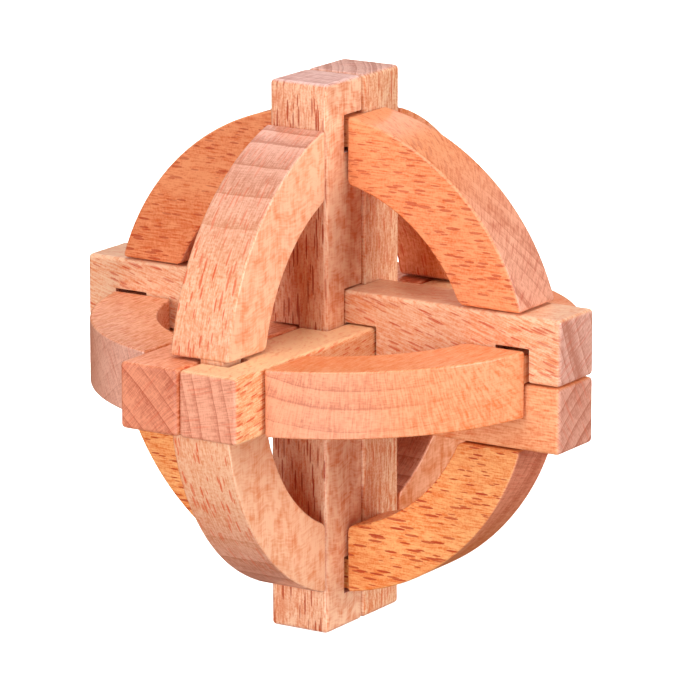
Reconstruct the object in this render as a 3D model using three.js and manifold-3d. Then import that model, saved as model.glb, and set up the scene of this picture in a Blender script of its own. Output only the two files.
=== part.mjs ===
// A twelve-piece wooden burr ball: three crossed pairs of square bars, locked by six half-rings.
// Millimetres, +Z up, standing on the ends of the upright pair with the origin between them.
// The grid unit is half a bar. Every face keeps half of the fit gap to its grid plane.
import * as THREE from "three";
import { mergeVertices } from "three/addons/utils/BufferGeometryUtils.js";
import Module from "manifold-3d";

const wasm = await Module();
wasm.setup();

// Driving dimensions.
const PITCH = 12; // the width that one bar takes up in the assembly
const LENGTH = 98; // every bar, end to end
const RING_OUTER = 43.5; // outer radius of the half-rings
const RING_INNER = 31.3; // inner radius of the half-rings
const SEAT = 37; // distance from the centre to a tongue's flat inner side
const FIT = 0.3; // gap between two neighbouring faces
const SHOULDER_PLAY = 0.25; // how far a half-ring's shoulders stay off the bars that they flank
const TONGUE_PLAY = 1; // how much thinner a tongue is than half of its ring, on its open side
const WINDOW_PLAY = 0.7; // how far a window reaches past a tongue's flat inner side
const BAR_EASE = 0.8; // chamfer on the edges of the bars
const RING_EASE = 0.4; // chamfer on the edges of the half-rings
const ARC_STEPS = 24; // three.js makes two flats from each of these round an arc

// Sizes that follow from them.
const HALF = PITCH / 2;
const REACH = LENGTH; // further than any piece, for cutters that run right through
const SIDE = PITCH - FIT;
const SHOULDER = HALF + SHOULDER_PLAY; // half of the space between a half-ring's two shoulders
const TONGUE_OUT = Math.sqrt(RING_OUTER ** 2 - SHOULDER ** 2); // a tongue's outer side, level with them
const WINDOW_IN = (SEAT - WINDOW_PLAY + FIT / 2) / HALF; // the windows' ends, before their fit gap
const WINDOW_OUT = (TONGUE_OUT + FIT / 2) / HALF;

// Directions of the grid.
const X = new THREE.Vector3(1, 0, 0);
const Y = new THREE.Vector3(0, 1, 0);
const Z = new THREE.Vector3(0, 0, 1);

// Turns a closed geometry into a solid that can be cut.
function solid(geometry) {
  const bare = geometry.clone();
  bare.deleteAttribute("normal");
  bare.deleteAttribute("uv");
  const merged = mergeVertices(bare, 1e-4);
  return new wasm.Manifold(
    new wasm.Mesh({
      numProp: 3,
      vertProperties: merged.getAttribute("position").array,
      triVerts: new Uint32Array(merged.index.array),
    }),
  );
}

// Turns a cut solid back into a flat-shaded geometry.
function geometryOf(cutSolid) {
  const mesh = cutSolid.getMesh();
  const indexed = new THREE.BufferGeometry();
  indexed.setAttribute("position", new THREE.BufferAttribute(mesh.vertProperties, 3));
  indexed.setIndex(new THREE.BufferAttribute(mesh.triVerts, 1));
  const flat = indexed.toNonIndexed();
  flat.computeVertexNormals();
  return flat;
}

// A box between two corners, in millimetres.
function block(low, high) {
  const size = high.map((value, i) => value - low[i]);
  const box = new THREE.BoxGeometry(...size);
  box.translate(...low.map((value, i) => value + size[i] / 2));
  return solid(box);
}

// Room for what fills the grid cells from low to high, with half of the fit gap all round.
function room([low, high]) {
  return block(
    low.map((value) => value * HALF - FIT / 2),
    high.map((value) => value * HALF + FIT / 2),
  );
}

// An outline extruded with its outer size kept and its end edges chamfered, centred on z = 0.
function easedExtrusion(outline, thickness, ease) {
  const geometry = new THREE.ExtrudeGeometry(outline, {
    depth: thickness - 2 * ease,
    bevelEnabled: true,
    bevelThickness: ease,
    bevelSize: ease,
    bevelOffset: -ease,
    bevelSegments: 1,
    curveSegments: ARC_STEPS,
    steps: 1,
  });
  geometry.translate(0, 0, ease - thickness / 2);
  return geometry;
}

// The square section of a bar with its four corners chamfered.
function barSection() {
  const edge = SIDE / 2;
  const inner = edge - BAR_EASE;
  const outline = new THREE.Shape();
  outline.moveTo(edge, -inner);
  outline.lineTo(edge, inner);
  outline.lineTo(inner, edge);
  outline.lineTo(-inner, edge);
  outline.lineTo(-edge, inner);
  outline.lineTo(-edge, -inner);
  outline.lineTo(-inner, -edge);
  outline.lineTo(inner, -edge);
  outline.closePath();
  return outline;
}

// A plain bar along one direction, its middle at a place in grid units, less the given rooms.
function bar(along, middle, rooms) {
  const geometry = easedExtrusion(barSection(), LENGTH, BAR_EASE);
  geometry.applyQuaternion(new THREE.Quaternion().setFromUnitVectors(Z, along));
  geometry.translate(...middle.map((value) => value * HALF));
  return geometryOf(rooms.reduce((piece, cells) => piece.subtract(room(cells)), solid(geometry)));
}

// Half of the square-sectioned ring, its middle at +Y, ending on the face of the pair at y = PITCH.
function halfRingOutline() {
  const foot = PITCH + FIT / 2;
  const outerAngle = Math.asin(foot / RING_OUTER);
  const innerAngle = Math.asin(foot / RING_INNER);
  const outline = new THREE.Shape();
  outline.absarc(0, 0, RING_OUTER, outerAngle, Math.PI - outerAngle, false);
  outline.absarc(0, 0, RING_INNER, Math.PI - innerAngle, innerAngle, true);
  outline.closePath();
  return outline;
}

// A half-ring in the XY plane. Its middle is cut down to a tongue that lies in the +Z half.
function halfRing() {
  const tongueTop = SIDE / 2 - TONGUE_PLAY;
  const cuts = [
    block([-SHOULDER, 0, -PITCH], [SHOULDER, REACH, FIT / 2]),
    block([-SHOULDER, 0, tongueTop], [SHOULDER, REACH, PITCH]),
    block([-SHOULDER, 0, -PITCH], [SHOULDER, SEAT, PITCH]),
    block([-SHOULDER, TONGUE_OUT, -PITCH], [SHOULDER, REACH, PITCH]),
  ];
  const ring = solid(easedExtrusion(halfRingOutline(), SIDE, RING_EASE));
  return geometryOf(cuts.reduce((piece, cut) => piece.subtract(cut), ring));
}

// The two windows of a notched bar, near both of its ends. The function gives the cells of one
// window from its inner and outer distance along the bar.
function windows(cellsAt) {
  return [cellsAt(WINDOW_IN, WINDOW_OUT), cellsAt(-WINDOW_OUT, -WINDOW_IN)];
}

// The plain key bar, the left one of the pair that runs from front to back.
const keyBar = bar(Y, [-1, 0, 0], []);

// Its neighbour, notched for the upright pair and the crossing pair.
const rightBar = bar(Y, [1, 0, 0], [
  [[0, -2, -1], [1, 2, 1]],
  [[0, -1, -1], [2, 1, 0]],
  ...windows((near, far) => [[-1, near, -2], [1, far, 2]]),
]);

// The upper bar of the pair that runs from left to right.
const upperBar = bar(X, [0, 0, 1], [
  [[-2, -2, -1], [0, 2, 1]],
  [[1, -2, -1], [2, 2, 1]],
  [[-1, 0, -1], [1, 2, 3]],
  ...windows((near, far) => [[near, -2, -1], [far, 2, 1]]),
]);

// The lower bar of that pair. It lies clear of the key bar and of the back upright bar.
const lowerBar = bar(X, [0, 0, -1], [
  [[-2, -2, -1], [0, 2, 1]],
  [[-1, 0, -3], [1, 2, 1]],
]);

// The front bar of the upright pair.
const frontBar = bar(Z, [0, -1, 0], [
  [[-2, -1, -2], [2, 1, 2]],
  [[-2, -3, -1], [0, 1, 1]],
  ...windows((near, far) => [[-2, -1, near], [2, 1, far]]),
]);

// The back bar of the upright pair, which only makes room for the key bar.
const backBar = bar(Z, [0, 1, 0], [[[-2, -1, -1], [0, 3, 1]]]);

const ringGeometry = halfRing();

// One wooden piece: a mesh with its own finish.
function woodenPiece(name, geometry, colour, roughness) {
  const material = new THREE.MeshStandardMaterial({ color: colour, roughness, metalness: 0 });
  const piece = new THREE.Mesh(geometry, material);
  piece.name = name;
  return piece;
}

// A half-ring whose middle points along one direction and whose tongue lies towards another.
function turnedHalfRing(name, middle, tongue, colour) {
  const piece = woodenPiece(name, ringGeometry, colour, 0.62);
  const across = new THREE.Vector3().crossVectors(middle, tongue);
  const turn = new THREE.Matrix4().makeBasis(across, middle, tongue);
  piece.quaternion.setFromRotationMatrix(turn);
  return piece;
}

const bars = new THREE.Group();
bars.add(
  woodenPiece("key_bar", keyBar, "#c98a6e", 0.6),
  woodenPiece("right_notched_bar", rightBar, "#e09a72", 0.6),
  woodenPiece("upper_notched_bar", upperBar, "#eeb48e", 0.6),
  woodenPiece("lower_bar", lowerBar, "#e28c56", 0.6),
  woodenPiece("front_notched_bar", frontBar, "#dd9270", 0.6),
  woodenPiece("back_bar", backBar, "#e6a27a", 0.6),
);

const rings = new THREE.Group();
const minus = (direction) => direction.clone().negate();
rings.add(
  turnedHalfRing("top_half_ring", Z, minus(Y), "#ec9a66"),
  turnedHalfRing("bottom_half_ring", minus(Z), minus(Y), "#e58a50"),
  turnedHalfRing("right_half_ring", X, Z, "#e6a377"),
  turnedHalfRing("left_half_ring", minus(X), Z, "#dd9468"),
  turnedHalfRing("front_half_ring", minus(Y), X, "#d99c7c"),
  turnedHalfRing("back_half_ring", Y, X, "#e0a078"),
);

// The ball stands on the ends of the upright pair.
const ball = new THREE.Group();
ball.position.z = LENGTH / 2;
ball.add(bars, rings);

const puzzle = new THREE.Group();
puzzle.add(ball);

export default puzzle;
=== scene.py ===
"""A burr ball of beech: six square bars and six half-rings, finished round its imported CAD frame.

Every CAD node is replaced by a finer piece of wood of the same size, in the same place. A bar is a
planed stick with rounded edges and sawn notches. A half-ring is two turned arms joined by a tongue.
Each piece is cut from its own bit of the same tree, so its grain is worked out in the wood's own
directions: out from the pith, round the growth rings, and along the fibres.
"""
import logging
import math
from dataclasses import dataclass
from enum import Enum

import bmesh
import bpy
from mathutils import Matrix, Vector


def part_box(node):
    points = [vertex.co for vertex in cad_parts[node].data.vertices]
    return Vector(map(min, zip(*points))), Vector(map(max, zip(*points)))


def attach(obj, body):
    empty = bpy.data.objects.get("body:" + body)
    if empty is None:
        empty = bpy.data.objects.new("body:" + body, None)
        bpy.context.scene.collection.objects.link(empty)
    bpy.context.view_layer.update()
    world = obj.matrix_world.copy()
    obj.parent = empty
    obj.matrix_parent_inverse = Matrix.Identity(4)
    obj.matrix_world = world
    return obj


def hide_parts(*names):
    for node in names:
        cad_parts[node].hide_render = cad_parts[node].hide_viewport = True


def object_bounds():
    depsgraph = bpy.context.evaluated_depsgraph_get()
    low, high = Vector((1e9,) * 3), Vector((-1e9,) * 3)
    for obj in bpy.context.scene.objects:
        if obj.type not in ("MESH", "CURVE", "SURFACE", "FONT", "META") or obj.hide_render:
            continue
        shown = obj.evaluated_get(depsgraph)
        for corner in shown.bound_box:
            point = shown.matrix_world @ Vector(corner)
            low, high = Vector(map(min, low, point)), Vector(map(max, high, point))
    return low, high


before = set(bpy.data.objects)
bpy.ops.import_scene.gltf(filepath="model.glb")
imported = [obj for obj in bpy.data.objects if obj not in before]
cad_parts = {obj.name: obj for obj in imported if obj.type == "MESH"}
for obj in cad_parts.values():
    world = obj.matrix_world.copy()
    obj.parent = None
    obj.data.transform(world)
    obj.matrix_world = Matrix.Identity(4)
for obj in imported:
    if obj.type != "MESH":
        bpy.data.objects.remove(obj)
CAD_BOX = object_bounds()

LOG = logging.getLogger("burr_ball")
MM = 0.001

Triple = tuple[float, float, float]
Cells = tuple[Triple, Triple]
Settings = dict[str | int, object]


class Way(Enum):
    """The six directions of the puzzle's grid."""

    RIGHT = (1, 0, 0)
    LEFT = (-1, 0, 0)
    BACK = (0, 1, 0)
    FRONT = (0, -1, 0)
    UP = (0, 0, 1)
    DOWN = (0, 0, -1)

    @property
    def vector(self) -> Vector:
        """The direction as a unit vector."""
        return Vector(self.value)


class Join(Enum):
    """How one solid is worked into another."""

    CUT_AWAY = "DIFFERENCE"
    GLUED_ON = "UNION"


@dataclass(frozen=True)
class Grid:
    """The puzzle's grid in metres. Its unit is half of the width that one bar takes up.

    Args:
        centre: The middle of the puzzle.
        unit: Half of the distance between the middles of two neighbouring bars.
        fit: The gap between two neighbouring faces.
        ring_outer: The outer radius of the half-rings.
    """

    centre: Vector
    unit: float
    fit: float
    ring_outer: float

    @classmethod
    def from_frame(cls) -> "Grid":
        """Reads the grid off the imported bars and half-rings.

        Returns:
            The grid.
        """
        low, high = CAD_BOX
        centre = (low + high) / 2
        key_low, key_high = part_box("key_bar")
        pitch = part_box("right_notched_bar")[0].x - key_low.x
        ring_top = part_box("top_half_ring")[1].z
        return cls(centre, pitch / 2, pitch - (key_high.x - key_low.x), ring_top - centre.z)

    def room(self, cells: Cells) -> tuple[Vector, Vector]:
        """The space that is cut for what fills some grid cells.

        Args:
            cells: The lowest and the highest corner of the cells, in grid units from the centre.

        Returns:
            The lowest and the highest corner, with half of the fit gap all round.
        """
        low, high = (Vector(corner) * self.unit + self.centre for corner in cells)
        margin = Vector((self.fit, self.fit, self.fit)) / 2
        return low - margin, high + margin


# --- Finish ---------------------------------------------------------------------------------------


def linear(hex_colour: str) -> tuple[float, float, float, float]:
    """Turns an sRGB hex colour into linear RGBA.

    Args:
        hex_colour: The colour, such as "#f4b183".

    Returns:
        Red, green, blue and alpha from 0 to 1.
    """
    channels = [int(hex_colour[i : i + 2], 16) / 255 for i in (1, 3, 5)]
    curve = [c / 12.92 if c <= 0.04045 else ((c + 0.055) / 1.055) ** 2.4 for c in channels]
    return (*curve, 1.0)


class NodeBoard:
    """A material's node tree while it is being made."""

    def __init__(self, name: str) -> None:
        """Starts an empty material.

        Args:
            name: The material's name.
        """
        self.material = bpy.data.materials.new(name)
        self.material.use_nodes = True
        self.tree = self.material.node_tree
        self.tree.nodes.clear()

    def add(self, kind: str, inputs: Settings, **settings: object) -> bpy.types.Node:
        """Adds a node with its settings, its values and its links.

        Args:
            kind: The node's type.
            inputs: A value or another node's output for each input, by its name or number.
            settings: The node's own settings.

        Returns:
            The new node.
        """
        node = self.tree.nodes.new(kind)
        for name, value in settings.items():
            setattr(node, name, value)
        for socket, value in inputs.items():
            if isinstance(value, bpy.types.NodeSocket):
                self.tree.links.new(value, node.inputs[socket])
            else:
                node.inputs[socket].default_value = value
        return node


@dataclass(frozen=True)
class Stock:
    """The bit of the tree that a piece is cut from.

    Args:
        fibre: The way that the fibres run.
        bark: The way from the pith to the bark, at the middle of the piece.
        pith: How far the pith is from the middle of the piece, in millimetres.
        ring: The width of one year's growth, in millimetres.
        shift: How far along the fibres the piece is cut from the log, in millimetres, so that
            no two pieces show the same figure.
    """

    fibre: Triple
    bark: Triple
    pith: float
    ring: float
    shift: float

    def turn(self) -> Matrix:
        """Turns the puzzle's directions to the wood's: to the bark, round the rings, up the fibres.

        Returns:
            The rotation.
        """
        along = Vector(self.fibre).normalized()
        out = Vector(self.bark)
        out = (out - out.dot(along) * along).normalized()
        return Matrix((out, along.cross(out), along))


@dataclass(frozen=True)
class Rays:
    """One size of beech's rays: flat lenses that stand on edge, from the pith towards the bark.

    Args:
        room: The space that one ray has to itself outwards, round the rings and along the fibres,
            in millimetres. A ray has the same proportions.
        widest: The half-width of the widest ray, as a part of its room.
        rim: How far its edge fades, as a part of its room.
        faintest: The strength of the palest ray, where the darkest is 1.
    """

    room: Triple
    widest: float
    rim: float
    faintest: float


@dataclass(frozen=True)
class Figure:
    """The patterns of a piece of wood, each from 0 to 1.

    Args:
        end: How far the surface looks along the fibres, so that it is end grain.
        radial: How far it looks round the rings, so that it shows the rays' flat sides.
        season: How late in its year the wood grew.
        streak: Fine streaks that stand outwards and run along the fibres.
        layer: Fine layers that lie round the rings.
        silk: The sheen of the finest rays, cut lengthwise.
        cloud: Slow changes of colour.
        broad: The broad rays.
        fine: The narrow rays.
    """

    end: bpy.types.NodeSocket
    radial: bpy.types.NodeSocket
    season: bpy.types.NodeSocket
    streak: bpy.types.NodeSocket
    layer: bpy.types.NodeSocket
    silk: bpy.types.NodeSocket
    cloud: bpy.types.NodeSocket
    broad: bpy.types.NodeSocket
    fine: bpy.types.NodeSocket


@dataclass(frozen=True)
class Recipe:
    """How strongly each pattern darkens one kind of grain.

    Args:
        start: What the sum starts from, which brings the average to the middle of the two colours.
        streak: The share of the streaks.
        layer: The share of the layers.
        silk: The share of the silk.
        cloud: The share of the clouds.
        season: The share of the growth rings, before the finish's own depth for them.
    """

    start: float
    streak: float
    layer: float
    silk: float
    cloud: float
    season: float


@dataclass(frozen=True)
class PlanedBeech:
    """Steamed beech, planed, sanded and lightly waxed: satin, peach to orange, with brown flecks.

    Beech is known by its rays. A face that looks to the bark cuts them across, into short dark
    spindles. A face that looks round the rings cuts them along, into soft orange patches. On end
    grain they are fine lines that cross the growth rings. End grain is pinker and greyer, because
    its open pores drink in the light, and only there are the growth rings plain to see.

    Args:
        node: The node that it finishes.
        stock: Where in the tree the piece comes from.
        pale: The colour of the lightest long grain.
        deep: The colour of the darkest long grain.
        fleck: The colour of a ray that is cut across.
        end_pale: The colour of end grain that grew in spring.
        end_deep: The colour of end grain that grew in late summer.
        fleck_depth: How strongly the flecks show, from 0 to 1.
        band_depth: How strongly the growth rings show on end grain, from 0 to 1.
        ray_room: How far apart the broad rays stand along the fibres, in millimetres. They are
            longer where they stand further apart.
        painted_sheen: Painted sheen: how much paler the faces that look round the rings are painted,
            in place of light that glances off the rays' flat sides.
    """

    node: str
    stock: Stock
    pale: str
    deep: str
    fleck: str
    end_pale: str = "#fbd2bd"
    end_deep: str = "#cc8f78"
    fleck_depth: float = 0.85
    band_depth: float = 0.8
    ray_room: float = 4.2
    # Painted sheen: faces that look round the rings are painted paler, in place of light that glances
    # off them.
    painted_sheen: float = 0.0

    # Broad rays are drawn 0.25 to 0.46 mm wide, half as wide again as in the wood, and narrow ones
    # 0.09 to 0.17 mm wide, two to three times as wide as there. Both would be too fine to show.
    BROAD_ROOM = (8.0, 0.6)
    BROAD_WIDEST = 0.38
    BROAD_RIM = 0.03
    BROAD_FAINTEST = 0.75
    NARROW = Rays(room=(6.0, 0.3, 1.5), widest=0.28, rim=0.12, faintest=0.3)
    # The width of the narrowest ray, as a part of the widest, and how strongly the narrow rays show
    # beside the broad ones.
    NARROWEST = 0.55
    NARROW_SHARE = 0.5
    # How much of a ray's colour is lost where it is cut along, and on end grain.
    LOST_CUT_ALONG = 0.9
    LOST_ON_END = 0.66
    # Pores and fibres are 0.02 to 0.08 mm wide, too fine to show, so they are drawn in bundles.
    STREAK = (2.2, 0.2, 2.4)
    LAYER = (0.22, 0.9, 2.6)
    SILK = (2.2, 0.4, 0.35)
    CLOUD = (9.0, 9.0, 30.0)
    # Fibres and rings are never straight: this is how far apart their bends are, and how far off
    # their line they go.
    WANDER = (9.0, 9.0, 40.0)
    WANDER_BY = (0.7, 0.9, 5.0)
    # A year's growth: the part of the year, and how dark the wood is then. The last thin, dark line
    # is the late wood. Years differ: how quickly good and bad ones follow each other, and by how
    # many years a ring may lie off its place.
    YEAR = ((0.0, 0.0), (0.4, 0.08), (0.8, 0.3), (0.93, 0.45), (0.965, 1.0), (1.0, 0.05))
    YEARS_TURN = 0.7
    YEARS_OFF = 1.6
    # A face counts as end grain or as radial from the second of these slants on, and not at all
    # before the first.
    SLANTS = (0.35, 0.95)
    LONG_GRAIN = Recipe(-2.35, streak=2.2, layer=1.3, silk=1.2, cloud=0.9, season=0.2)
    END_GRAIN = Recipe(-1.68, streak=1.7, layer=1.2, silk=0.0, cloud=0.8, season=2.2)
    # The fibres' tooth after fine sanding, and how much of it shows through the wax.
    TOOTH = 0.04 * MM
    TOOTH_SHOWN = 0.5
    # Satin: the roughness on the smoothest and the roughest layers of the wood, and the spread of
    # the layers between them. Over it lies a thin coat of wax.
    SATIN = (0.38, 0.5)
    LAYER_SPREAD = (0.3, 0.7)
    REFRACTION = 1.5
    WAX = 0.3
    WAX_ROUGHNESS = 0.16

    def build(self, middle: Vector) -> bpy.types.Material:
        """Builds the material for a piece.

        Args:
            middle: The middle of the piece, in metres.

        Returns:
            The finished material.
        """
        board = NodeBoard("steamed_beech_" + self.node)
        place = board.add("ShaderNodeTexCoord", {})
        wood = self._wood_place(board, place, middle)
        facing = board.add(
            "ShaderNodeMapping",
            {"Vector": place.outputs["Normal"], "Rotation": self.stock.turn().to_euler()},
            vector_type="VECTOR",
        )
        figure = self._figure(board, wood, facing.outputs[0])
        grain = self._grain_colour(board, figure)
        colour = self._with_rays(board, figure, grain)
        height = self._sum(board, 0.0, ((figure.streak, 1.0), (figure.layer, 1.0)))
        bump = board.add(
            "ShaderNodeBump",
            {"Height": height, "Distance": self.TOOTH, "Strength": self.TOOTH_SHOWN},
        )
        ranges = enumerate((figure.layer, *self.LAYER_SPREAD, *self.SATIN))
        satin = board.add("ShaderNodeMapRange", dict(ranges))
        shader = board.add(
            "ShaderNodeBsdfPrincipled",
            {
                "Base Color": colour,
                "Roughness": satin.outputs[0],
                "Normal": bump.outputs[0],
                "IOR": self.REFRACTION,
                "Coat Weight": self.WAX,
                "Coat Roughness": self.WAX_ROUGHNESS,
            },
        )
        board.add("ShaderNodeOutputMaterial", {"Surface": shader.outputs[0]})
        return board.material

    def _wood_place(
        self, board: NodeBoard, place: bpy.types.Node, middle: Vector
    ) -> bpy.types.NodeSocket:
        """Gives a point's place in the wood.

        Args:
            board: The node tree.
            place: The Texture Coordinate node.
            middle: The middle of the piece, in metres.

        Returns:
            The distance from the pith, the way round the rings and the way along the fibres, as a
            vector in millimetres.
        """
        turn = self.stock.turn()
        start = Vector((self.stock.pith, 0, self.stock.shift)) - turn @ middle / MM
        straight = board.add(
            "ShaderNodeMapping",
            {
                "Vector": place.outputs["Object"],
                "Location": start,
                "Rotation": turn.to_euler(),
                "Scale": (1 / MM,) * 3,
            },
        )
        bends = self._noise(board, straight.outputs[0], self.WANDER, 2.0, "Color")
        off = board.add(
            "ShaderNodeVectorMath", {0: bends, 1: (0.5, 0.5, 0.5)}, operation="SUBTRACT"
        )
        bent = board.add(
            "ShaderNodeVectorMath",
            {0: off.outputs[0], 1: self.WANDER_BY, 2: straight.outputs[0]},
            operation="MULTIPLY_ADD",
        )
        axes = board.add("ShaderNodeSeparateXYZ", {0: bent.outputs[0]})
        disc = board.add("ShaderNodeCombineXYZ", {0: axes.outputs[0], 1: axes.outputs[1]})
        rho = board.add("ShaderNodeVectorMath", {0: disc.outputs[0]}, operation="LENGTH")
        angle = board.add(
            "ShaderNodeMath", {0: axes.outputs[1], 1: axes.outputs[0]}, operation="ARCTAN2"
        )
        arc = board.add(
            "ShaderNodeMath", {0: angle.outputs[0], 1: self.stock.pith}, operation="MULTIPLY"
        )
        wood = board.add(
            "ShaderNodeCombineXYZ", {0: rho.outputs["Value"], 1: arc.outputs[0], 2: axes.outputs[2]}
        )
        return wood.outputs[0]

    def _figure(
        self, board: NodeBoard, wood: bpy.types.NodeSocket, facing: bpy.types.NodeSocket
    ) -> Figure:
        """Adds every pattern of the wood.

        Args:
            board: The node tree.
            wood: The place in the wood.
            facing: The surface's direction in the wood's directions.

        Returns:
            The patterns.
        """
        size = board.add("ShaderNodeVectorMath", {0: facing}, operation="ABSOLUTE")
        sides = board.add("ShaderNodeSeparateXYZ", {0: size.outputs[0]})
        none, full = self.SLANTS
        radial, end = (
            board.add(
                "ShaderNodeMapRange", {0: side, 1: none, 2: full}, interpolation_type="SMOOTHSTEP"
            ).outputs[0]
            for side in (sides.outputs[1], sides.outputs[2])
        )
        room = (*self.BROAD_ROOM, self.ray_room)
        broad = Rays(room, self.BROAD_WIDEST, self.BROAD_RIM, self.BROAD_FAINTEST)
        return Figure(
            end=end,
            radial=radial,
            season=self._season(board, wood),
            streak=self._noise(board, wood, self.STREAK, 1.5),
            layer=self._noise(board, wood, self.LAYER, 1.5),
            silk=self._noise(board, wood, self.SILK, 1.0),
            cloud=self._noise(board, wood, self.CLOUD, 2.0),
            broad=self._rays(board, wood, broad),
            fine=self._rays(board, wood, self.NARROW),
        )

    def _noise(
        self,
        board: NodeBoard,
        place: bpy.types.NodeSocket,
        blot: Triple,
        detail: float,
        output: str = "Fac",
    ) -> bpy.types.NodeSocket:
        """Adds noise that is stretched along the wood's directions.

        Args:
            board: The node tree.
            place: The place in the wood, in millimetres.
            blot: The size of one blot along each direction, in millimetres.
            detail: How many finer layers the noise has.
            output: Which of the noise's outputs is wanted.

        Returns:
            The noise, about 0.5 on average.
        """
        blots = board.add("ShaderNodeVectorMath", {0: place, 1: blot}, operation="DIVIDE")
        noise = board.add(
            "ShaderNodeTexNoise", {"Vector": blots.outputs[0], "Scale": 1.0, "Detail": detail}
        )
        return noise.outputs[output]

    def _season(self, board: NodeBoard, wood: bpy.types.NodeSocket) -> bpy.types.NodeSocket:
        """Adds the growth rings: slowly darker through a year, a thin dark line, and pale again.

        Args:
            board: The node tree.
            wood: The place in the wood.

        Returns:
            The darkness, from 0 to 1.
        """
        rho = board.add("ShaderNodeSeparateXYZ", {0: wood})
        years = board.add(
            "ShaderNodeMath", {0: rho.outputs[0], 1: self.stock.ring}, operation="DIVIDE"
        )
        uneven = board.add(
            "ShaderNodeTexNoise",
            {"W": years.outputs[0], "Scale": self.YEARS_TURN, "Detail": 1.0},
            noise_dimensions="1D",
        )
        date = board.add(
            "ShaderNodeMath",
            {0: uneven.outputs["Fac"], 1: self.YEARS_OFF, 2: years.outputs[0]},
            operation="MULTIPLY_ADD",
        )
        part = board.add("ShaderNodeMath", {0: date.outputs[0]}, operation="FRACT")
        ramp = board.add("ShaderNodeValToRGB", {0: part.outputs[0]})
        elements = ramp.color_ramp.elements
        for place, _ in self.YEAR[1:-1]:
            elements.new(place)
        for element, (_, grey) in zip(elements, self.YEAR):
            element.color = (grey, grey, grey, 1.0)
        return ramp.outputs["Color"]

    def _rays(
        self, board: NodeBoard, wood: bpy.types.NodeSocket, rays: Rays
    ) -> bpy.types.NodeSocket:
        """Adds rays in scattered places, no two of the same size or strength.

        Args:
            board: The node tree.
            wood: The place in the wood.
            rays: Their sizes.

        Returns:
            How much of a ray is there, from 0 to 1.
        """
        rooms = board.add("ShaderNodeVectorMath", {0: wood, 1: rays.room}, operation="DIVIDE")
        cells = board.add("ShaderNodeTexVoronoi", {"Vector": rooms.outputs[0], "Scale": 1.0})
        lot = board.add("ShaderNodeSeparateXYZ", {0: cells.outputs["Color"]})
        narrowest = rays.widest * self.NARROWEST
        width = board.add(
            "ShaderNodeMapRange", {0: lot.outputs[0], 3: narrowest, 4: rays.widest}
        )
        inside = board.add(
            "ShaderNodeMath",
            {0: width.outputs[0], 1: cells.outputs["Distance"]},
            operation="SUBTRACT",
        )
        edge = board.add("ShaderNodeMapRange", {0: inside.outputs[0], 2: rays.rim})
        tone = board.add("ShaderNodeMapRange", {0: lot.outputs[1], 3: rays.faintest})
        shown = board.add(
            "ShaderNodeMath", {0: edge.outputs[0], 1: tone.outputs[0]}, operation="MULTIPLY"
        )
        return shown.outputs[0]

    def _sum(
        self, board: NodeBoard, start: float, shares: tuple[tuple[bpy.types.NodeSocket, float], ...]
    ) -> bpy.types.NodeSocket:
        """Adds patterns up, each with its own share.

        Args:
            board: The node tree.
            start: The number to start from.
            shares: The patterns and how much each one counts. One that counts for 0 is left out.

        Returns:
            The sum.
        """
        total: float | bpy.types.NodeSocket = start
        for pattern, share in shares:
            if share:
                step = board.add(
                    "ShaderNodeMath", {0: pattern, 1: share, 2: total}, operation="MULTIPLY_ADD"
                )
                total = step.outputs[0]
        return total

    def _grain_colour(self, board: NodeBoard, figure: Figure) -> bpy.types.NodeSocket:
        """Colours the wood between its rays.

        Args:
            board: The node tree.
            figure: The wood's patterns.

        Returns:
            The colour.
        """
        long_grain, end_grain = (
            board.add(
                "ShaderNodeMix",
                {0: self._tone(board, figure, recipe, painted_sheen), 6: linear(pale), 7: linear(deep)},
                data_type="RGBA",
            )
            for recipe, painted_sheen, pale, deep in (
                (self.LONG_GRAIN, self.painted_sheen, self.pale, self.deep),
                (self.END_GRAIN, 0.0, self.end_pale, self.end_deep),
            )
        )
        both = board.add(
            "ShaderNodeMix",
            {0: figure.end, 6: long_grain.outputs[2], 7: end_grain.outputs[2]},
            data_type="RGBA",
        )
        return both.outputs[2]

    def _tone(
        self, board: NodeBoard, figure: Figure, recipe: Recipe, painted_sheen: float
    ) -> bpy.types.NodeSocket:
        """Works out how dark the wood is between its two colours.

        Args:
            board: The node tree.
            figure: The wood's patterns.
            recipe: How much each pattern counts.
            painted_sheen: How much paler the faces that look round the rings are painted, as a
                painted sheen.

        Returns:
            The tone, where 0 is the pale colour and 1 is the deep one.
        """
        return self._sum(
            board,
            recipe.start,
            (
                (figure.streak, recipe.streak),
                (figure.layer, recipe.layer),
                (figure.silk, recipe.silk),
                (figure.cloud, recipe.cloud),
                (figure.season, recipe.season * self.band_depth),
                # Painted sheen: the faces that look round the rings are pulled towards the pale
                # colour.
                (figure.radial, -painted_sheen),
            ),
        )

    def _with_rays(
        self, board: NodeBoard, figure: Figure, grain: bpy.types.NodeSocket
    ) -> bpy.types.NodeSocket:
        """Lays the rays over the grain: dark flecks, soft patches, or fine lines on end grain.

        Args:
            board: The node tree.
            figure: The wood's patterns.
            grain: The colour between the rays.

        Returns:
            The colour with the rays.
        """
        narrow_depth = self.NARROW_SHARE * self.fleck_depth
        shown = self._sum(
            board, 0.0, ((figure.broad, self.fleck_depth), (figure.fine, narrow_depth))
        )
        share = self._sum(
            board, 1.0, ((figure.radial, -self.LOST_CUT_ALONG), (figure.end, -self.LOST_ON_END))
        )
        amount = board.add(
            "ShaderNodeMath", {0: shown, 1: share}, operation="MULTIPLY", use_clamp=True
        )
        colour = board.add(
            "ShaderNodeMix",
            {0: amount.outputs[0], 6: grain, 7: linear(self.fleck)},
            data_type="RGBA",
        )
        return colour.outputs[2]


# --- Pieces ---------------------------------------------------------------------------------------


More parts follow.
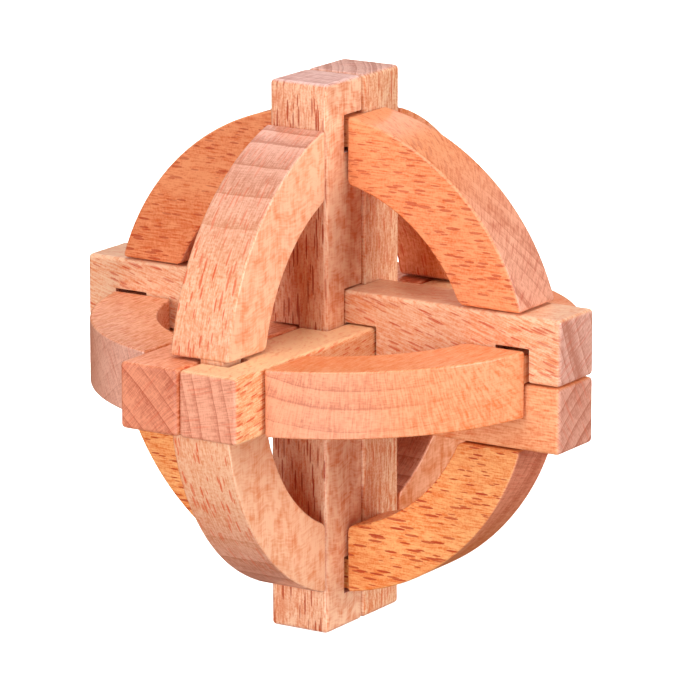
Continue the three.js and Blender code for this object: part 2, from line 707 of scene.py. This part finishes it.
def as_object(shape: bmesh.types.BMesh, name: str) -> bpy.types.Object:
    """Puts a shape into the scene.

    Args:
        shape: The shape, which is used up.
        name: The object's name.

    Returns:
        The new object, at the origin.
    """
    bmesh.ops.recalc_face_normals(shape, faces=shape.faces[:])
    mesh = bpy.data.meshes.new(name)
    shape.to_mesh(mesh)
    shape.free()
    made = bpy.data.objects.new(name, mesh)
    bpy.context.scene.collection.objects.link(made)
    return made


def block(low: Vector, high: Vector, ease: float = 0.0) -> bmesh.types.BMesh:
    """Makes a block between two corners.

    Args:
        low: The lowest corner.
        high: The highest corner.
        ease: The radius of its rounded edges, or 0 for sharp ones.

    Returns:
        The block's shape.
    """
    shape = bmesh.new()
    bmesh.ops.create_cube(shape, size=1.0)
    bmesh.ops.scale(shape, vec=high - low, verts=shape.verts[:])
    bmesh.ops.translate(shape, vec=(low + high) / 2, verts=shape.verts[:])
    if ease:
        round_over(shape, shape.edges[:], ease)
    return shape


def round_over(
    shape: bmesh.types.BMesh,
    edges: list[bmesh.types.BMEdge] | list[bmesh.types.BMVert],
    radius: float,
    segments: int = 4,
    affect: str = "EDGES",
) -> None:
    """Rounds edges, or the corners of a flat outline.

    Args:
        shape: The shape.
        edges: The edges or corners to round.
        radius: The radius.
        segments: How many faces go round the bend.
        affect: "EDGES", or "VERTICES" for corners.
    """
    bmesh.ops.bevel(
        shape, geom=edges, offset=radius, offset_type="OFFSET", segments=segments, profile=0.5,
        affect=affect, material=-1, clamp_overlap=True,
    )


def work_in(piece: bpy.types.Object, tool: bpy.types.Object, how: Join) -> None:
    """Works one solid into another with a live modifier, which settle() applies.

    Args:
        piece: The piece.
        tool: The solid that is worked into it.
        how: Whether the tool is cut away or glued on.
    """
    change = piece.modifiers.new(tool.name, "BOOLEAN")
    change.operation = how.value
    change.solver = "EXACT"
    change.object = tool
    tool.hide_render = True


def settle(piece: bpy.types.Object, tools: list[bpy.types.Object]) -> None:
    """Applies a piece's modifiers and clears its tools away.

    Args:
        piece: The piece.
        tools: The objects that its modifiers used.
    """
    graph = bpy.context.evaluated_depsgraph_get()
    final = bpy.data.meshes.new_from_object(piece.evaluated_get(graph), depsgraph=graph)
    rough = piece.data
    piece.modifiers.clear()
    piece.data = final
    final.name = piece.name
    bpy.data.meshes.remove(rough)
    for tool in tools:
        mesh = tool.data
        bpy.data.objects.remove(tool)
        bpy.data.meshes.remove(mesh)


@dataclass(frozen=True)
class Piece:
    """One wooden piece of the puzzle.

    Args:
        node: The CAD node that it replaces.
        body: The body that it moves with.
        finish: Its material.
        cut_edge: The radius of the edges that a saw or cutter left, just broken with sandpaper.
        speck: The length below which two points of the mesh are one.
        sharp: The angle from which an edge counts as sharp, in degrees.
    """

    node: str
    body: str
    finish: PlanedBeech
    cut_edge: float = 0.12 * MM
    speck: float = 0.004 * MM
    sharp: float = 50.0

    def shape(self, grid: Grid) -> tuple[bpy.types.Object, list[bpy.types.Object]]:
        """Makes the piece and the tools that are worked into it.

        Args:
            grid: The puzzle's grid.

        Returns:
            The piece, and the tools.
        """
        raise NotImplementedError

    def build(self, grid: Grid) -> bpy.types.Object:
        """Makes, finishes and hands over the piece.

        Args:
            grid: The puzzle's grid.

        Returns:
            The finished piece.
        """
        made, tools = self.shape(grid)
        self._break_edges(made)
        settle(made, tools)
        self._weld(made)
        self._smooth(made)
        low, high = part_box(self.node)
        made.data.materials.clear()
        made.data.materials.append(self.finish.build((low + high) / 2))
        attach(made, self.body)
        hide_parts(self.node)
        LOG.info("%s: %d faces, rides on %s", made.name, len(made.data.polygons), self.body)
        return made

    def _break_edges(self, made: bpy.types.Object) -> None:
        """Breaks the sharp edges that the cuts left.

        Args:
            made: The piece.
        """
        edge = made.modifiers.new("broken edges", "BEVEL")
        edge.width = self.cut_edge
        edge.segments = 2
        edge.limit_method = "ANGLE"
        edge.angle_limit = math.radians(self.sharp)
        edge.miter_outer = "MITER_ARC"

    def _weld(self, made: bpy.types.Object) -> None:
        """Makes one of points that the cuts left on top of each other, and drops what had no size.

        Args:
            made: The piece.
        """
        shape = bmesh.new()
        shape.from_mesh(made.data)
        bmesh.ops.remove_doubles(shape, verts=shape.verts[:], dist=self.speck)
        bmesh.ops.dissolve_degenerate(shape, edges=shape.edges[:], dist=self.speck)
        shape.to_mesh(made.data)
        shape.free()

    def _smooth(self, made: bpy.types.Object) -> None:
        """Shades the rounded edges softly and keeps the flat faces flat.

        Args:
            made: The piece.
        """
        made.data.polygons.foreach_set("use_smooth", [True] * len(made.data.polygons))
        flat = made.modifiers.new("flat faces", "WEIGHTED_NORMAL")
        flat.mode = "FACE_AREA"
        flat.weight = 100
        settle(made, [])


@dataclass(frozen=True)
class Bar(Piece):
    """A square bar: a planed stick with rounded edges, and notches sawn into it.

    Args:
        notches: The grid cells that are cut away, from the puzzle's centre.
        ease: The radius of the planed edges.
    """

    notches: tuple[Cells, ...] = ()
    ease: float = 0.8 * MM

    def shape(self, grid: Grid) -> tuple[bpy.types.Object, list[bpy.types.Object]]:
        """Makes the stick and one cutter for each notch.

        Args:
            grid: The puzzle's grid.

        Returns:
            The stick, and the cutters.
        """
        low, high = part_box(self.node)
        stick = as_object(block(low, high, self.ease), "beech_" + self.node)
        cutters = [as_object(block(*grid.room(cells)), "cutter") for cells in self.notches]
        for cutter in cutters:
            work_in(stick, cutter, Join.CUT_AWAY)
        return stick, cutters


@dataclass(frozen=True)
class HalfRing(Piece):
    """A half-ring: two turned arms, and between them a half-thick tongue that lies in a window.

    It is made round the origin in its own directions, across, middle and tongue, and then turned
    to where it belongs.

    Args:
        middle: The way that the middle of the ring points.
        tongue: The side that the tongue lies on.
        inner: The inner radius.
        seat: The distance of the tongue's flat inner side from the ring's centre.
        shoulder_play: How far the arms stay off the bars that they flank.
        tongue_play: How much thinner the tongue is than half of the ring, on its open side.
        tenon: How far the tongue reaches into each arm.
        shelter: How deep the ends of the tongue's outer side lie under the arms' outer face.
        arc_step: The length of one straight step round an arc.
        rim: The radius of the edges along the arcs.
        outer_foot: The radius of an arm's corner at its foot, on the outside.
        inner_foot: The radius of the corner at its foot, on the inside.
        outer_shoulder: The radius of the corner at its shoulder, on the outside.
        inner_shoulder: The radius of the corner at its shoulder, on the inside.
    """

    middle: Way = Way.UP
    tongue: Way = Way.FRONT
    inner: float = 31.3 * MM
    seat: float = 37 * MM
    shoulder_play: float = 0.25 * MM
    tongue_play: float = 1.0 * MM
    tenon: float = 1.0 * MM
    shelter: float = 0.1 * MM
    arc_step: float = 1.2 * MM
    rim: float = 0.4 * MM
    outer_foot: float = 0.8 * MM
    inner_foot: float = 1.0 * MM
    outer_shoulder: float = 0.7 * MM
    inner_shoulder: float = 0.9 * MM

    def shape(self, grid: Grid) -> tuple[bpy.types.Object, list[bpy.types.Object]]:
        """Makes one arm, and the other arm and the tongue as solids to be joined to it.

        Args:
            grid: The puzzle's grid.

        Returns:
            The arm, and the two other solids.
        """
        turn = self._turn(grid)
        arm = self._arm(grid)
        other = arm.copy()
        bmesh.ops.scale(other, vec=(-1, 1, 1), verts=other.verts[:])
        solids = []
        named = ((arm, "beech_" + self.node), (self._tongue(grid), "tongue"), (other, "arm"))
        for solid, name in named:
            bmesh.ops.transform(solid, matrix=turn, verts=solid.verts[:])
            solids.append(as_object(solid, name))
        made, *joined = solids
        for solid in joined:
            work_in(made, solid, Join.GLUED_ON)
        return made, joined

    def _turn(self, grid: Grid) -> Matrix:
        """Turns the ring's own directions to the puzzle's, about the centre.

        Args:
            grid: The puzzle's grid.

        Returns:
            The move from the ring's own place to its place in the puzzle.
        """
        middle, tongue = self.middle.vector, self.tongue.vector
        turn = Matrix((middle.cross(tongue), middle, tongue)).transposed()
        return Matrix.Translation(grid.centre) @ turn.to_4x4()

    def _arm(self, grid: Grid) -> bmesh.types.BMesh:
        """Makes the arm on the side of +X, from its foot to its shoulder.

        Args:
            grid: The puzzle's grid.

        Returns:
            The arm's shape.
        """
        shape = bmesh.new()
        foot = 2 * grid.unit + grid.fit / 2
        shoulder = grid.unit + self.shoulder_play
        thickness = 2 * grid.unit - grid.fit
        outer_foot, outer_shoulder = self._arc(shape, grid.ring_outer, foot, shoulder)
        inner_foot, inner_shoulder = self._arc(shape, self.inner, foot, shoulder)
        shape.edges.new((outer_foot, inner_foot))
        shape.edges.new((outer_shoulder, inner_shoulder))
        bmesh.ops.contextual_create(shape, geom=shape.edges[:])
        round_over(shape, [outer_foot], self.outer_foot, affect="VERTICES")
        round_over(shape, [inner_foot], self.inner_foot, affect="VERTICES")
        round_over(shape, [outer_shoulder], self.outer_shoulder, affect="VERTICES")
        round_over(shape, [inner_shoulder], self.inner_shoulder, affect="VERTICES")
        bmesh.ops.translate(shape, vec=(0, 0, -thickness / 2), verts=shape.verts[:])
        rims = shape.edges[:]
        raised = bmesh.ops.extrude_face_region(shape, geom=shape.faces[:], use_keep_orig=True)
        top = [part for part in raised["geom"] if isinstance(part, bmesh.types.BMVert)]
        bmesh.ops.translate(shape, vec=(0, 0, thickness), verts=top)
        rims += [part for part in raised["geom"] if isinstance(part, bmesh.types.BMEdge)]
        round_over(shape, rims, self.rim, segments=3)
        return shape

    def _arc(
        self, shape: bmesh.types.BMesh, radius: float, foot: float, shoulder: float
    ) -> tuple[bmesh.types.BMVert, bmesh.types.BMVert]:
        """Adds one arc of an arm.

        Args:
            shape: The arm's shape.
            radius: The arc's radius.
            foot: How far its foot stands along the ring's middle direction.
            shoulder: How far its shoulder stands off the ring's middle.

        Returns:
            Its ends at the foot and at the shoulder.
        """
        start = math.asin(foot / radius)
        sweep = math.acos(shoulder / radius) - start
        first = shape.verts.new((radius * math.cos(start), radius * math.sin(start), 0))
        spun = bmesh.ops.spin(
            shape,
            geom=[first],
            cent=(0, 0, 0),
            axis=(0, 0, 1),
            angle=sweep,
            steps=round(radius * sweep / self.arc_step),
        )
        last = next(part for part in spun["geom_last"] if isinstance(part, bmesh.types.BMVert))
        return first, last

    def _tongue(self, grid: Grid) -> bmesh.types.BMesh:
        """Makes the tongue, which reaches a little way into both arms.

        Args:
            grid: The puzzle's grid.

        Returns:
            The tongue's shape.
        """
        reach = grid.unit + self.shoulder_play + self.tenon
        low = Vector((-reach, self.seat, grid.fit / 2))
        outer = math.sqrt(grid.ring_outer**2 - reach**2) - self.shelter
        high = Vector((reach, outer, grid.unit - grid.fit / 2 - self.tongue_play))
        return block(low, high)


@dataclass(frozen=True)
class BurrBall:
    """The puzzle: its six bars and six half-rings.

    Args:
        grid: Its grid.
        window_play: How far a window reaches past a tongue's flat inner side.
    """

    grid: Grid
    window_play: float = 0.7 * MM

    def pieces(self) -> list[Piece]:
        """Lists the pieces: the key bar, the five bars that it locks, and the half-rings.

        Returns:
            The pieces.
        """
        near = (HalfRing.seat - self.window_play + self.grid.fit / 2) / self.grid.unit
        shoulder = self.grid.unit + HalfRing.shoulder_play
        tongue_out = math.sqrt(self.grid.ring_outer**2 - shoulder**2)
        far = (tongue_out + self.grid.fit / 2) / self.grid.unit
        finishes = beech_finishes()
        key = Bar("key_bar", "key", finishes["key_bar"])
        right = Bar(
            "right_notched_bar", "frame", finishes["right_notched_bar"],
            notches=(
                ((0, -2, -1), (1, 2, 1)),
                ((0, -1, -1), (2, 1, 0)),
                ((-1, near, -2), (1, far, 2)),
                ((-1, -far, -2), (1, -near, 2)),
            ),
        )
        upper = Bar(
            "upper_notched_bar", "frame", finishes["upper_notched_bar"],
            notches=(
                ((-2, -2, -1), (0, 2, 1)),
                ((1, -2, -1), (2, 2, 1)),
                ((-1, 0, -1), (1, 2, 3)),
                ((near, -2, -1), (far, 2, 1)),
                ((-far, -2, -1), (-near, 2, 1)),
            ),
        )
        lower = Bar(
            "lower_bar", "frame", finishes["lower_bar"],
            notches=(((-2, -2, -1), (0, 2, 1)), ((-1, 0, -3), (1, 2, 1))),
        )
        front = Bar(
            "front_notched_bar", "frame", finishes["front_notched_bar"],
            notches=(
                ((-2, -1, -2), (2, 1, 2)),
                ((-2, -3, -1), (0, 1, 1)),
                ((-2, -1, near), (2, 1, far)),
                ((-2, -1, -far), (2, 1, -near)),
            ),
        )
        back = Bar("back_bar", "frame", finishes["back_bar"], notches=(((-2, -1, -1), (0, 3, 1)),))
        rings = [
            HalfRing(name, "frame", finishes[name], middle=middle, tongue=tongue)
            for name, middle, tongue in (
                ("top_half_ring", Way.UP, Way.FRONT),
                ("bottom_half_ring", Way.DOWN, Way.FRONT),
                ("right_half_ring", Way.RIGHT, Way.UP),
                ("left_half_ring", Way.LEFT, Way.UP),
                ("front_half_ring", Way.FRONT, Way.RIGHT),
                ("back_half_ring", Way.BACK, Way.RIGHT),
            )
        ]
        return [key, right, upper, lower, front, back, *rings]


def beech_finishes() -> dict[str, PlanedBeech]:
    """Gives each piece its finish: all are steamed beech, each from its own bit of the tree.

    Returns:
        The finishes by node.
    """
    # Where a piece has a painted sheen, its faces that look round the rings are painted paler, in
    # place of light glancing off them.
    finishes = (
        PlanedBeech(
            "key_bar", Stock((0, 1, 0), (0.7, 0, 0.7), 70, 3.0, 0),
            "#ffb68e", "#dc7845", "#cd4413",
            "#ec9c79", "#bf684b", fleck_depth=0.8, band_depth=0.6,
        ),
        PlanedBeech(
            "right_notched_bar", Stock((0, 0.99, 0.14), (0.99, 0, 0.14), 110, 3.3, 210),
            "#ffd3a2", "#e88b50", "#dc4d16",
            "#f7b494", "#c8795d", fleck_depth=0.85, band_depth=0.6, painted_sheen=0.5,
        ),
        PlanedBeech(
            "upper_notched_bar", Stock((0.966, 0, -0.259), (0, -0.85, -0.53), 120, 3.1, 430),
            "#f8cfaa", "#e79160", "#ca3e0a",
            "#ebbcaa", "#bf806b", band_depth=0.6, ray_room=5.0, painted_sheen=0.25,
        ),
        PlanedBeech(
            "lower_bar", Stock((1, 0, 0), (0, -0.57, 0.82), 45, 2.9, 640),
            "#fcbb8a", "#e17c45", "#d74b16",
            "#e3ab95", "#b9745d", fleck_depth=0.75, band_depth=0.75, ray_room=5.0,
        ),
        PlanedBeech(
            "front_notched_bar", Stock((0, 0, 1), (0, -1, 0), 95, 3.2, 860),
            "#fdd3af", "#e0895d", "#b43e0c",
            "#fcd5cc", "#cd9182", fleck_depth=0.95, band_depth=0.5, ray_room=7.0,
        ),
        PlanedBeech(
            "back_bar", Stock((0, 0, 1), (0.82, 0.57, 0), 80, 1.6, 1070),
            "#ffdcb5", "#dd8452", "#d74f1a",
            "#f4c8b8", "#c68875", fleck_depth=0.7, ray_room=7.0,
        ),
        PlanedBeech(
            "top_half_ring", Stock((1, 0, 0), (0, -0.82, -0.57), 130, 3.5, 1290),
            "#f6a571", "#dc6c31", "#b43200",
            "#f2b598", "#c57b60", fleck_depth=0.95, band_depth=0.4, painted_sheen=0.4,
        ),
        # Its end-grain colours are darkened with painted shade, for the outer face that looks down
        # near its feet.
        PlanedBeech(
            "bottom_half_ring", Stock((1, 0, 0), (0, -1, 0.2), 130, 3.5, 1500),
            "#fabb79", "#e2772f", "#b43200",
            "#e39678", "#b9664a", fleck_depth=0.95, band_depth=0.4,
        ),
        PlanedBeech(
            "right_half_ring", Stock((0, 1, 0), (0, 0, -1), 50, 3.6, 1720),
            "#fab382", "#e87d3d", "#e6601c",
            "#f8ad85", "#c97553", fleck_depth=0.3, band_depth=0.4,
        ),
        PlanedBeech(
            "left_half_ring", Stock((0, 1, 0), (-0.6, 0, 0.8), 90, 3.6, 1940),
            "#ffc19b", "#dd8047", "#d34d15",
            "#ffccb6", "#d08d76", fleck_depth=0.75, band_depth=0.2,
        ),
        PlanedBeech(
            "front_half_ring", Stock((0, 0, 1), (0, -1, 0), 140, 5.0, 2160),
            "#facda8", "#e59566", "#e05a2a",
            "#f2bba4", "#c48066", band_depth=0.7, painted_sheen=0.2,
        ),
        PlanedBeech(
            "back_half_ring", Stock((0, 0, 1), (0, 1, 0), 100, 3.4, 2370),
            "#fcb78d", "#dc7d44", "#d34d15",
            "#f5bea1", "#c78165", fleck_depth=0.75,
        ),
    )
    return {finish.node: finish for finish in finishes}


# --- Studio ---------------------------------------------------------------------------------------


def outwards(azimuth: float, elevation: float) -> Vector:
    """Gives the way from the puzzle to something that stands round it.

    Args:
        azimuth: The way round from the front to the right, in degrees.
        elevation: The height above the horizon, in degrees.

    Returns:
        The way, as a unit vector.
    """
    a, e = math.radians(azimuth), math.radians(elevation)
    return Vector((math.sin(a) * math.cos(e), -math.cos(a) * math.cos(e), math.sin(e)))


@dataclass(frozen=True)
class Softbox:
    """A square soft light.

    Args:
        name: Its name.
        azimuth: The way that it stands, in degrees round from the front to the right.
        elevation: Its height, in degrees.
        power: Its power in watts.
        distance: How far away it is, in metres.
        side: The side of its square, in metres.
    """

    name: str
    azimuth: float
    elevation: float
    power: float
    distance: float = 1.3
    side: float = 0.8

    def build(self, target: Vector) -> bpy.types.Object:
        """Hangs the light and turns it to the object.

        Args:
            target: The middle of the object.

        Returns:
            The light.
        """
        light = bpy.data.lights.new(self.name, "AREA")
        light.size = self.side
        light.energy = self.power
        lamp = bpy.data.objects.new(self.name, light)
        away = outwards(self.azimuth, self.elevation)
        lamp.location = target + away * self.distance
        lamp.rotation_euler = away.to_track_quat("Z", "Y").to_euler()
        bpy.context.scene.collection.objects.link(lamp)
        return lamp


@dataclass(frozen=True)
class Studio:
    """The pale floor, the soft lights and the camera.

    Args:
        azimuth: The camera's way round from the front to the right, in degrees.
        elevation: Its height above the horizon, in degrees.
        distance: Its distance from the puzzle's centre, in metres.
        lens: Its focal length, in millimetres.
        aside: How far it stands off to the right and up, in metres.
        sensor: The width of its sensor, in millimetres.
        clip: The nearest and the furthest distance that it sees, in metres.
        floor_side: The side of the floor, in metres.
        floor_colour: Its colour.
        floor_roughness: Its roughness.
        sky: The strength of the light that fills the shade.
        sky_colour: That light's colour.
    """

    azimuth: float = 32.54
    elevation: float = 13.76
    distance: float = 0.9
    lens: float = 263.3
    aside: tuple[float, float] = (0.0026, -0.00076)
    sensor: float = 36.0
    clip: tuple[float, float] = (0.05, 50.0)
    floor_side: float = 12.0
    floor_colour: str = "#f4f3f1"
    floor_roughness: float = 0.9
    sky: float = 0.165
    sky_colour: str = "#ff8a55"

    def build(self, grid: Grid) -> None:
        """Sets everything up.

        The floor lets the light from below through, and has a light to itself.

        Args:
            grid: The puzzle's grid.
        """
        floor = self._floor()
        self._sky()
        self._camera(grid)
        for box in (
            Softbox("front_softbox", azimuth=-4, elevation=8, power=13.4),
            Softbox("right_softbox", azimuth=102, elevation=13, power=13.3),
            Softbox("top_softbox", azimuth=20, elevation=78, power=10.0),
            Softbox("back_softbox", azimuth=215, elevation=38, power=3.0),
        ):
            box.build(grid.centre)
        below = Softbox("bounce_off_the_table", azimuth=35, elevation=-32, power=7.5)
        bounce = below.build(grid.centre)
        all_but = bpy.data.collections.new("lets_the_bounce_through")
        all_but.objects.link(floor)
        all_but.collection_objects[0].light_linking.link_state = "EXCLUDE"
        bounce.light_linking.blocker_collection = all_but
        above = Softbox("floor_light", azimuth=20, elevation=85, power=260, distance=3.0, side=5.0)
        floor_light = above.build(grid.centre)
        floor_light.data.use_shadow = False
        only = bpy.data.collections.new("lit_by_the_floor_light")
        only.objects.link(floor)
        floor_light.light_linking.receiver_collection = only
        bpy.context.scene.view_settings.view_transform = "Standard"

    def _floor(self) -> bpy.types.Object:
        """Lays the floor, which takes light but sends none back to the wood.

        Returns:
            The floor.
        """
        shape = bmesh.new()
        bmesh.ops.create_grid(shape, x_segments=1, y_segments=1, size=self.floor_side / 2)
        floor = as_object(shape, "pale_floor")
        board = NodeBoard("matt_white_floor")
        shader = board.add(
            "ShaderNodeBsdfPrincipled",
            {"Base Color": linear(self.floor_colour), "Roughness": self.floor_roughness},
        )
        board.add("ShaderNodeOutputMaterial", {"Surface": shader.outputs[0]})
        floor.data.materials.append(board.material)
        floor.visible_diffuse = False
        floor.visible_glossy = False
        return floor

    def _sky(self) -> None:
        """Fills the shade with weak light, warm as it comes off the wood, before a white backdrop."""
        world = bpy.data.worlds.new("soft_room")
        world.use_nodes = True
        tree = world.node_tree
        fill = tree.nodes["Background"]
        fill.inputs["Color"].default_value = linear(self.sky_colour)
        fill.inputs["Strength"].default_value = self.sky
        backdrop = tree.nodes.new("ShaderNodeBackground")
        seen = tree.nodes.new("ShaderNodeLightPath")
        either = tree.nodes.new("ShaderNodeMixShader")
        tree.links.new(seen.outputs["Is Camera Ray"], either.inputs[0])
        tree.links.new(fill.outputs[0], either.inputs[1])
        tree.links.new(backdrop.outputs[0], either.inputs[2])
        tree.links.new(either.outputs[0], tree.nodes["World Output"].inputs["Surface"])
        bpy.context.scene.world = world

    def _camera(self, grid: Grid) -> None:
        """Sets the camera up.

        Args:
            grid: The puzzle's grid.
        """
        back = outwards(self.azimuth, self.elevation)
        right = Vector((0, 0, 1)).cross(back).normalized()
        up = back.cross(right)
        data = bpy.data.cameras.new("camera")
        data.lens = self.lens
        data.sensor_width = self.sensor
        data.clip_start, data.clip_end = self.clip
        camera = bpy.data.objects.new("camera", data)
        aside = right * self.aside[0] + up * self.aside[1]
        camera.location = grid.centre + back * self.distance + aside
        camera.rotation_euler = Matrix((right, up, back)).transposed().to_euler()
        bpy.context.scene.collection.objects.link(camera)
        bpy.context.scene.camera = camera


def main() -> None:
    """Builds the studio and the puzzle, piece by piece."""
    logging.basicConfig(level=logging.INFO, format="%(name)s: %(message)s")
    grid = Grid.from_frame()
    Studio().build(grid)
    for piece in BurrBall(grid).pieces():
        piece.build(grid)


if __name__ == "__main__":
    main()
